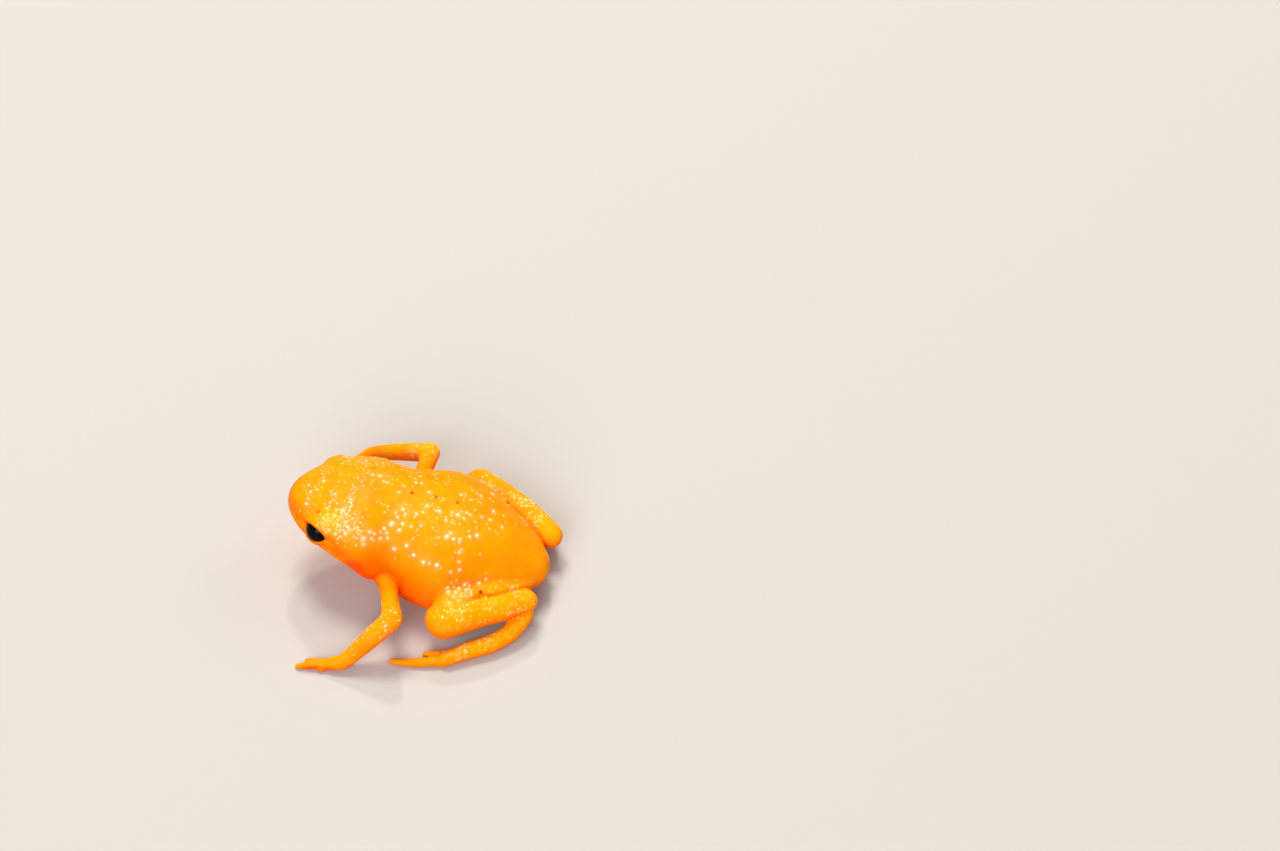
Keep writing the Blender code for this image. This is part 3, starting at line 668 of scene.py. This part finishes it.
def relaxed(co, edges, weight, rounds):
    # Each round moves every point towards its neighbours' mean by its weight.
    for _ in range(rounds):
        co = co + np.reshape(weight, (-1, 1)) * (neighbourMean(co, edges) - co)
    return co


def near(co, centre, reach):
    # 1 at a point, falling as exp(-(d / reach)^2).
    return bell(distance(co, centre), reach)


def smoothStep(low, high, value):
    # 0 up to low, 1 from high on, and 3t^2 - 2t^3 between them.
    t = np.clip((value - low) / (high - low), 0, 1)
    return t * t * (3 - 2 * t)


def rodDistance(co, rows):
    # Height above a rod's surface: the least over its spans from a to b of |p - a - (b - a) t| less the
    # radius there, where t is how far along the span p lies, held between 0 and 1.
    rows = np.asarray(rows, float)
    least = np.full(len(co), 99.0)
    for a, b in zip(rows, rows[1:]):
        way = (b - a)[:3]
        t = np.clip((co - a[:3]) @ way / (way @ way), 0, 1)
        away = np.linalg.norm(co - a[:3] - t[:, None] * way, axis=1)
        least = np.minimum(least, away - a[3] - (b[3] - a[3]) * t)
    return least


def bodyDistance(co, form):
    # Height above the body's surface, near enough: (q - 1) times the mean half size of the section, where
    # q = ((x / w)^n + ((z - m) / h)^n)^(1/n).
    rows = bodyRows(form, 4)[1:-1]
    half, top, bottom = (np.interp(co[:, 1], rows[:, 0], rows[:, k]) for k in (1, 2, 3))
    middle = bottom + form["widest"] * (top - bottom)
    upper = co[:, 2] > middle
    rise = np.maximum(np.where(upper, top - middle, middle - bottom), 0.05)
    power = np.where(upper, *form["roundness"])
    half = np.maximum(half, 0.05)
    q = (np.abs(co[:, 0] / half) ** power + np.abs((co[:, 2] - middle) / rise) ** power) ** (1 / power)
    return (q - 1) * (half + rise) / 2


def creaseDepths(co, form):
    # The most, over all pairs of forms with heights a and b above their surfaces, of the depth times
    # exp(-((a - b) / width)^2), where the two are near each other.
    depth = np.zeros(len(co))
    body = bodyDistance(co, bodyForm)
    for side in (1, -1):
        rods = {"upperArm": armForms[side]["upperArm"], **legForms[side]}
        heights = {"body": body, **{name: rodDistance(co, rows) for name, rows in rods.items()}}
        for first, second, deep, width, start, full in form["creases"]:
            a, b = heights[first], heights[second]
            close = smoothStep(0.42, 0.1, np.maximum(a, b)) * smoothStep(start, full, co[:, 1])
            depth = np.maximum(depth, deep * close * bell(a - b, width))
    return depth


def mouthLine(co, form):
    # Height above the line of the mouth, which is straight from its corner to its front, and how open it is.
    (y0, z0), (y1, z1) = form["corner"], form["front"]
    height = co[:, 2] - z0 - (z1 - z0) * (co[:, 1] - y0) / (y1 - y0)
    return height, smoothStep(-y0 - 0.05, -y0 + 0.45, -co[:, 1])


def fineMask(co):
    # The points near the eyes, mouth, nostrils and specks, where the skin gets smaller faces.
    height, opened = mouthLine(co, mouthForm)
    mask = (np.abs(height) < mouthForm["fine"]) & (opened > 0)
    for side in (1, -1):
        for form in (eyeForm, nostrilForm):
            mask |= distance(co, sided([form["centre"]], side)) < form["fine"]
    for x, y, z, radius, _ in colourForm["speck"]:
        mask |= distance(co, (x, y, z)) < colourForm["fine"] * radius
    return mask


def refine(mesh, mask):
    # Halves the edges of the skin between the masked points, and makes all faces triangles.
    bm = bmesh.new()
    bm.from_mesh(mesh)
    edges = edgesOf(mesh)
    chosen = np.flatnonzero(mask[edges].all(axis=1))
    bm.edges.ensure_lookup_table()
    bmesh.ops.subdivide_edges(bm, edges=[bm.edges[k] for k in chosen.tolist()], cuts=1, use_grid_fill=True)
    bmesh.ops.triangulate(bm, faces=bm.faces)
    bm.to_mesh(mesh)
    bm.free()


def eyeFrame(form, side):
    # The eye's centre, and its directions outwards, along the lids and up.
    axis = unit(np.array(form["axis"]) * (side, 1, 1))
    along = unit(np.cross((0, 0, 1), axis) * side)
    return np.array(form["centre"]) * (side, 1, 1), axis, along, np.cross(axis, along) * side


def openedEye(co, form, side):
    # With a point's angle off the axis split into s along the lids and t up, e = (|s/w|^p + |t/h|^p)^(1/p)
    # is 1 on the lids' edge. The point's distance from the centre follows a profile of e: below the
    # eyeball inside, up over the edge and roll of the lid, and on to the skin as it is.
    centre, axis, along, up = eyeFrame(form, side)
    offset = co - centre
    r = np.linalg.norm(offset, axis=1)
    way = offset / r[:, None]
    angle = np.degrees(np.arccos(np.clip(way @ axis, -1, 1)))
    s, t = way @ along, way @ up
    across = np.maximum(np.hypot(s, t), 1e-6)
    s, t = angle * s / across, angle * t / across
    wide, high, low = form["opening"]
    high = low + (high - low) * smoothStep(-8, 8, t)
    p = form["power"]
    e = ((np.abs(s) / wide) ** p + (np.abs(t) / high) ** p) ** (1 / p)
    lid = form["lowerLid"] + (form["upperLid"] - form["lowerLid"]) * smoothStep(-20, 20, t)
    edge, inside = form["radius"] + lid, form["radius"] - form["hidden"]
    natural = np.maximum(r, form["radius"] + form["hidden"])
    roll = edge + np.maximum(natural - edge, 0) * smoothStep(1.02, 1.35, e)
    outer = roll + (natural - roll) * smoothStep(1.15, 1.45, e)
    target = inside + (edge - 0.05 - inside) * smoothStep(0.91, 1.02, e)
    target = target + (outer - edge + 0.05) * smoothStep(1.0, 1.14, e)
    target = np.where(e < 1.45, target, natural)
    close = r < form["within"][0]
    seen = close & (angle < form["within"][1])
    return np.where(seen[:, None], centre + way * target[:, None], co), np.where(close, e, 9.0)


skinMesh = fusedSkin(allShells(), skinForm["voxel"])
print("skin fused:", len(skinMesh.vertices), "points")
co, edges = pointsOf(skinMesh), edgesOf(skinMesh)
co = relaxed(co, edges, *skinForm["relax"])
for x, y, z, reach, rounds in skinForm["fillets"]:
    co = relaxed(co, edges, skinForm["filletWeight"] * near(co, (x, y, z), reach), rounds)
normals = setPoints(skinMesh, co)
for x, y, z, reach, height in skinForm["swells"]:
    co = co + normals * (height * near(co, (x, y, z), reach))[:, None]
creases = creaseDepths(co, skinForm)
co = co - normals * creases[:, None]
setPoints(skinMesh, co)
refine(skinMesh, fineMask(co))
co, edges = pointsOf(skinMesh), edgesOf(skinMesh)
print("skin shaped:", len(co), "points,", len(skinMesh.polygons), "faces")

lidPlace = np.full(len(co), 9.0)
for side in (1, -1):
    co, e = openedEye(co, eyeForm, side)
    lidPlace = np.minimum(lidPlace, e)
normals = setPoints(skinMesh, co)
height, opened = mouthLine(co, mouthForm)
lipHeight = np.abs(height) - mouthForm["lipReach"] - 0.03
lips = mouthForm["lip"] * bell(lipHeight, mouthForm["lipReach"])
groove = mouthForm["depth"] * bell(height, mouthForm["reach"])
fuller, reach = mouthForm["upperLip"]
upperLip = fuller * smoothStep(0.0, 0.08, height) * bell(height, reach)
amount = opened * (lips + upperLip - groove)
# The mouth's groove and the nostrils' pits are painted darker, as shade.
recessShadePlace = opened * bell(height, mouthForm["shadeReach"])
rim, rimRadius, rimWidth = nostrilForm["rim"]
for side in (1, -1):
    d = distance(co, co[np.argmin(distance(co, sided([nostrilForm["centre"]], side)))])
    amount += rim * bell(d - rimRadius, rimWidth) - nostrilForm["depth"] * bell(d, nostrilForm["reach"])
    recessShadePlace = np.maximum(recessShadePlace, bell(d, nostrilForm["shadeReach"]))
co = co + normals * amount[:, None]
# Flats where the animal rests.
co[:, 2] = np.maximum(co[:, 2], 0.0)
normals = setPoints(skinMesh, co)


def strongest(co, rows):
    # The highest over all rows of strength times exp(-(d / reach)^2).
    return np.max([strength * near(co, (x, y, z), reach) for x, y, z, reach, strength in rows], axis=0)


def paleRound(co, rows):
    # The skin pales round each large granule, partly its own pale colour and partly painted glint, as a
    # share of its paleness times exp(-(d / reach)^2).
    share, spread = granuleForm["halo"]
    return strongest(co, [(x, y, z, spread * radius, share * pale) for x, y, z, radius, pale in rows])


upward = normals[:, 2]
# How deep each point lies in a hollow, for the painted shade there.
hollow = ((neighbourMean(co, edges) - co) * normals).sum(axis=1)
hollow = relaxed(hollow[:, None], edges, *colourForm["evened"])[:, 0]
hollow *= 1 - strongest(co, colourForm["calm"])
shades = {name: strongest(co, colourForm[name]) for name in ("paintedShade", "yellowAndPaintedLight", "haze", "spots", "speck")}
for name, facing in colourForm["facing"].items():
    shades[name] *= smoothStep(*facing, upward)
# Painted shade: redder on the underside, in hollows and along the lids' edges.
shades["paintedShade"] += colourForm["belly"] * smoothStep(0.5, -0.4, upward)
shades["paintedShade"] += np.clip(hollow * colourForm["hollows"][0], 0, colourForm["hollows"][1])
shades["paintedShade"] += colourForm["lidEdge"] * smoothStep(1.1, 0.98, lidPlace)
# painted shade in the mouth's groove and the nostrils
shades["recessShade"] = recessShadePlace
shades["granuleAndGlint"] = paleRound(co, granuleForm["single"])
shades = {name: np.clip(shade, 0, 1) for name, shade in shades.items()}
co = co - normals * (colourForm["pit"] * shades["speck"])[:, None]


def shownPiece(name, mesh, attributes):
    # Puts the attributes on a mesh's points, shades it smooth, and rides it on the root.
    mesh.name = name
    for title, shade in attributes.items():
        mesh.attributes.new(title, "FLOAT", "POINT").data.foreach_set("value", shade.astype(np.float32))
    mesh.polygons.foreach_set("use_smooth", np.ones(len(mesh.polygons), bool))
    piece = addObject(name, mesh)
    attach(piece, "root")
    return piece


setPoints(skinMesh, co * mm)
skin = shownPiece("skin", skinMesh, shades)
fleshNodes = [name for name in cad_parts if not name.startswith("eye_")]
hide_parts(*fleshNodes)
print("skin coloured, in place of", len(fleshNodes), "nodes")


def scatteredGranules(co, normals, edges, lidPlace, form):
    # Picks skin points by seeded chance. In each zone it is a point's area times exp(-(d / reach)^2) times
    # a noise of crossed waves that leaves clumps. Returns the points' numbers, places, radii and paleness.
    dice = np.random.RandomState(form["seed"])
    lengths = np.linalg.norm(co[edges[:, 0]] - co[edges[:, 1]], axis=1)
    ends = edges.T.ravel()
    area = (np.bincount(ends, np.tile(lengths, 2)) / np.bincount(ends)) ** 2
    ways = dice.normal(size=(3, 14))
    clump, between = form["clump"]
    ways *= 2 * math.pi / clump / np.linalg.norm(ways, axis=0)
    noise = np.cos(co @ ways + dice.rand(14) * 2 * math.pi).sum(axis=1)
    fit = area * (between + smoothStep(0.0, 3.5, noise)) * smoothStep(-0.15, 0.25, normals[:, 2])
    fit *= (co[:, 2] > form["lowest"]) * (lidPlace > form["offLids"])
    picks, pales, radii = [], [], []
    low, high = form["radius"]
    for x, y, z, reach, count, pale, size in form["zones"]:
        chance = fit * near(co, (x, y, z), reach)
        picks.append(dice.choice(len(co), count, replace=False, p=chance / chance.sum()))
        pales.append(np.clip(pale * dice.normal(0.8, 0.45, count), 0.03, 1))
        radii.append(size * (low + (high - low) * (0.35 * dice.rand(count) + 0.65 * pales[-1])))
    picks, pales, radii = (np.concatenate(parts) for parts in (picks, pales, radii))
    places = co[picks] + dice.uniform(-0.04, 0.04, (len(picks), 3))
    single = np.array(form["single"])
    picks = np.r_[picks, [np.argmin(distance(co, place)) for place in single[:, :3]]]
    places = np.vstack([places, single[:, :3]])
    return picks, places, np.r_[radii, single[:, 3]], np.r_[pales, single[:, 4]]


def granuleMesh(co, normals, granules, form):
    # At the share s of its radius r and the angle a each dome stands r (h (1 - s^2)^2 - sunk) above the
    # skin, and its outline is r (1 + 0.1 cos(2a + phase)). A fan closes it below the skin.
    picks, places, radii, _ = granules
    dice = np.random.RandomState(form["seed"] + 1)
    up = normals[picks]
    offset = places - co[picks]
    centre = co[picks] + offset - up * (offset * up).sum(axis=1)[:, None]
    level = unit(np.cross(up, (0.31, 0.94, 0.12)))
    across = np.cross(up, level)
    count, sides, rings = len(picks), form["sides"], len(form["rings"])
    angle = fullTurn(sides)
    wobble = 1 + 0.1 * np.cos(2 * angle[None, :] + dice.rand(count, 1) * 2 * math.pi)
    share = np.array(form["rings"])
    rise = form["height"] * (1 - share**2) ** 2 - form["sunk"]
    out = level[:, None] * np.cos(angle)[:, None] + across[:, None] * np.sin(angle)[:, None]
    flat = out[:, None] * (radii[:, None] * wobble)[:, None, :, None] * share[None, :, None, None]
    rim = centre[:, None, None] + flat + up[:, None, None] * (radii[:, None] * rise)[:, :, None, None]
    crown = centre + up * (radii * (form["height"] - form["sunk"]))[:, None]
    foot = centre - up * (radii * 3 * form["sunk"])[:, None]
    points = np.concatenate([crown[:, None], foot[:, None], rim.reshape(count, -1, 3)], axis=1)
    stride = points.shape[1]
    j = np.arange(sides)
    k = (j + 1) % sides
    last = 2 + (rings - 1) * sides
    top = np.c_[np.zeros(sides, int), 2 + j, 2 + k]
    fans = np.vstack([top, np.c_[np.ones(sides, int), last + k, last + j]])
    starts = 2 + sides * np.arange(rings - 1)
    bands = np.vstack([np.c_[a + j, a + sides + j, a + sides + k, a + k] for a in starts])
    base = (np.arange(count) * stride)[:, None, None]
    faces = (base + fans).reshape(-1, 3).tolist() + (base + bands).reshape(-1, 4).tolist()
    mesh = meshFrom("granules", (points.reshape(-1, 3) * mm).tolist(), faces)
    # The rim is a sharp edge, so that the dome's shading runs on into the skin's.
    onRim = np.tile(np.arange(stride) >= last, count)
    mesh.edges.foreach_set("use_edge_sharp", onRim[edgesOf(mesh)].all(axis=1))
    # Each granule has a square of its own in the map, as a disc seen from above, with its foot outside.
    cells = math.ceil(math.sqrt(count))
    reach = np.r_[0, 0, np.repeat(share, sides)]
    turn = np.r_[0, 0, np.tile(angle, rings)]
    disc = np.c_[reach * np.cos(turn), reach * np.sin(turn)] * 0.4
    loops = values(mesh.loops, "vertex_index", 1, np.int32)[:, 0]
    number, part = loops // stride, loops % stride
    spot = disc[part]
    footLoops = np.flatnonzero(part == 1)  # each is followed by the two rim points of its face
    spot[footLoops] = (spot[footLoops + 1] + spot[footLoops + 2]) * 0.6
    cell = np.c_[number % cells, number // cells] + 0.5
    uv = ((cell + spot) / cells).ravel().astype(np.float32)
    mesh.uv_layers.new(name="OFBake").data.foreach_set("uv", uv)
    crownShare = np.r_[1, 0, np.repeat((1 - share**4) ** 1.5, sides)]
    return mesh, stride, crownShare


granules = scatteredGranules(co, normals, edges, lidPlace, granuleForm)
granulesMesh, stride, crownShare = granuleMesh(co, normals, granules, granuleForm)
granuleShades = {name: np.repeat(shade[granules[0]], stride) for name, shade in shades.items()}
# The crowns pale towards the top, partly in the warts' own colour and partly as painted glint.
granuleShades["granuleAndGlint"] = (granules[3][:, None] * crownShare).ravel()
granulePiece = shownPiece("granules", granulesMesh, granuleShades)
print("granules placed:", len(granules[0]))

# Live toad skin, grown: moist and bright orange all through, with light scattering below it, and a thin
# wet film on fine grain, which breaks every reflection into tiny glints.
skinFinish = {
    "orange": "#ff8a00",
    # the deeper orange of the painted shade
    "shadeOrange": "#ff4c00",
    # the yellow of the random mottle, and of the painted light
    "yellowAndPaintedLight": "#ffa200",
    # the granules' pale colour, partly their own and partly painted glint
    "granuleAndGlint": "#ffe0b4",
    "softSpot": "#ffbe48",
    # the granules' crowns on lit skin, partly pale colour and partly painted glint
    "paleYellowAndGlint": "#ffd85c",
    "haze": "#ffa04a",
    "speck": "#8c1800",
    # the painted shade in the mouth and nostrils
    "recessShade": "#8a1800",
    "grain": 0.13,  # mm across a grain of the wet film
    "spot": 0.26,  # mm from one soft spot to the next
    "mottle": 0.6,  # mm across a patch
    "scatter": 0.35,  # mm
    "fineDepth": 0.015,  # mm, of the skin's own grain
    "grainDepth": 0.028,  # mm, of the wet film's grains
}


def toadSkin(finish):
    # Each layer's colour is mixed over the ones before it, by its attribute or its pattern.
    material, tree, shader = newMaterial("moistGranularToadSkin")
    place = node(tree, "TexCoord"), "Object"
    names = ("yellowAndPaintedLight", "paintedShade", "haze", "spots", "granuleAndGlint", "speck", "recessShade")
    shade = {name: (node(tree, "Attribute", attribute_name=name), "Fac") for name in names}
    patches = {}
    for name, times, low, high, most in (("mottle", 1.0, 0.38, 0.66, 0.5), ("blotch", 1.7, 0.42, 0.6, 1.0)):
        scale = times / (finish["mottle"] * mm)
        noise = node(tree, "TexNoise", {"Vector": place, "Scale": scale, "Detail": 4.0})
        span = {"Value": (noise, "Fac"), "From Min": low, "From Max": high, "To Max": most}
        patches[name] = node(tree, "MapRange", span), "Result"
    hazy = node(tree, "Math", {0: shade["haze"], 1: patches["blotch"]}, operation="MULTIPLY"), 0
    cells = node(tree, "TexVoronoi", {"Vector": place, "Scale": 1 / (finish["spot"] * mm)})
    span = {"Value": (cells, "Distance"), "From Min": 0.5, "From Max": 0.18, "To Max": 0.7}
    rounds = node(tree, "MapRange", span, interpolation_type="SMOOTHSTEP"), "Result"
    spotted = node(tree, "Math", {0: shade["spots"], 1: rounds}, operation="MULTIPLY"), 0
    # The crowns' colour turns yellower where the painted light is full, partly as painted glint.
    tints = {0: shade["yellowAndPaintedLight"], 6: finish["granuleAndGlint"], 7: finish["paleYellowAndGlint"]}
    pale = node(tree, "Mix", tints, data_type="RGBA"), 2
    colour = finish["orange"]
    layers = (
        (patches["mottle"], finish["yellowAndPaintedLight"]),
        # painted light, yellower on lit skin
        (shade["yellowAndPaintedLight"], finish["yellowAndPaintedLight"]),
        # painted shade, in a deeper orange
        (shade["paintedShade"], finish["shadeOrange"]),
        (hazy, finish["haze"]),
        (spotted, finish["softSpot"]),
        # pale granule crowns and halos, partly their own colour and partly painted glint
        (shade["granuleAndGlint"], pale),
        (shade["speck"], finish["speck"]),
        # painted shade in the mouth's groove and nostrils
        (shade["recessShade"], finish["recessShade"]),
    )
    for factor, tint in layers:
        colour = node(tree, "Mix", {0: factor, 6: colour, 7: tint}, data_type="RGBA"), 2
    grain = 1 / (finish["grain"] * mm)
    fine = node(tree, "TexNoise", {"Vector": place, "Scale": 1.6 * grain, "Detail": 2.0})
    low = {"Height": (fine, "Fac"), "Strength": 0.35, "Distance": finish["fineDepth"] * mm}
    grains = node(tree, "TexVoronoi", {"Vector": place, "Scale": grain}, feature="SMOOTH_F1")
    steep = {"Height": (grains, "Distance"), "Strength": 1.0, "Distance": finish["grainDepth"] * mm}
    sockets = {
        "Base Color": colour,
        "Roughness": 0.48,
        "IOR": 1.4,
        "Specular IOR Level": 0.02,
        "Subsurface Weight": 0.2,
        "Subsurface Scale": finish["scatter"] * mm,
        "Subsurface Radius": (1.0, 0.3, 0.04),
        "Normal": (node(tree, "Bump", low), "Normal"),
        "Coat Weight": 0.06,
        "Coat Roughness": 0.06,
        "Coat Normal": (node(tree, "Bump", steep, invert=True), "Normal"),
    }
    setSockets(tree, shader, sockets)
    return material


skinStuff = toadSkin(skinFinish)
skinMesh.materials.append(skinStuff)
granulesMesh.materials.append(skinStuff)
print("skin finished")

# Wet black eyes: a dark brown iris round a black pupil, below one clear smooth cornea.
eyeFinish = {"iris": "#0b0503", "pupil": "#010101", "ring": "#1c0d05", "streak": 0.11}


def eyeball(form, side):
    # A ball of radius R + c exp(-(a / w)^4) at a degrees off the axis, closed at both poles.
    centre, axis, along, up = eyeFrame(form, side)
    turn = fullTurn(form["sides"])[None, :, None]
    angle = np.radians(np.linspace(0, 180, form["sides"] // 2 + 1)[1:-1])[:, None, None]
    bulge, reach = form["cornea"]
    radius = form["radius"] + bulge * np.exp(-((np.degrees(angle) / reach) ** 4))
    hand = side * (along * np.cos(turn) * side + up * np.sin(turn))
    rings = centre + radius * (axis * np.cos(angle) + hand * np.sin(angle))
    front = centre + axis * (form["radius"] + bulge)
    return closedShell(rings, front, centre - axis * form["radius"])


def eyeMaterial(finish):
    # A streaked iris, with the pupil and a faint ring round it mixed over it.
    material, tree, shader = newMaterial("wetBlackEye")
    place = node(tree, "TexCoord"), "Object"
    grain = {"Vector": place, "Scale": 1 / (finish["streak"] * mm), "Detail": 3.0}
    streak = node(tree, "TexNoise", grain)
    colour = finish["pupil"]
    layers = [((streak, "Fac"), finish["iris"])]
    for name in ("pupil", "ring"):
        layers.append(((node(tree, "Attribute", attribute_name=name), "Fac"), finish[name]))
    for factor, tint in layers:
        colour = node(tree, "Mix", {0: factor, 6: colour, 7: tint}, data_type="RGBA"), 2
    wet = {"Specular IOR Level": 0.05, "Coat Weight": 0.1, "Coat Roughness": 0.03}
    setSockets(tree, shader, {"Base Color": colour, "Roughness": 0.3, "IOR": 1.38, **wet})
    return material


eyeStuff = eyeMaterial(eyeFinish)
for side, name, title in ((1, "eye_left", "eyeballLeft"), (-1, "eye_right", "eyeballRight")):
    points, faces = eyeball(eyeForm, side)
    centre, axis, along, up = eyeFrame(eyeForm, side)
    way = unit(points - centre)
    s, t = (np.degrees(np.arcsin(np.clip(way @ line, -1, 1))) for line in (along, up))
    front = way @ axis > 0
    oval = np.hypot(s / eyeForm["pupil"][0], t / eyeForm["pupil"][1])
    rings = {
        "pupil": smoothStep(1.05, 0.95, oval) * front,
        "ring": 0.5 * bell(oval - 1.1, 0.09) * front,
    }
    eye = shownPiece(title, meshFrom(title, (points * mm).tolist(), faces), rings)
    eye.data.materials.append(eyeStuff)
    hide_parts(name)
print("eyes made")
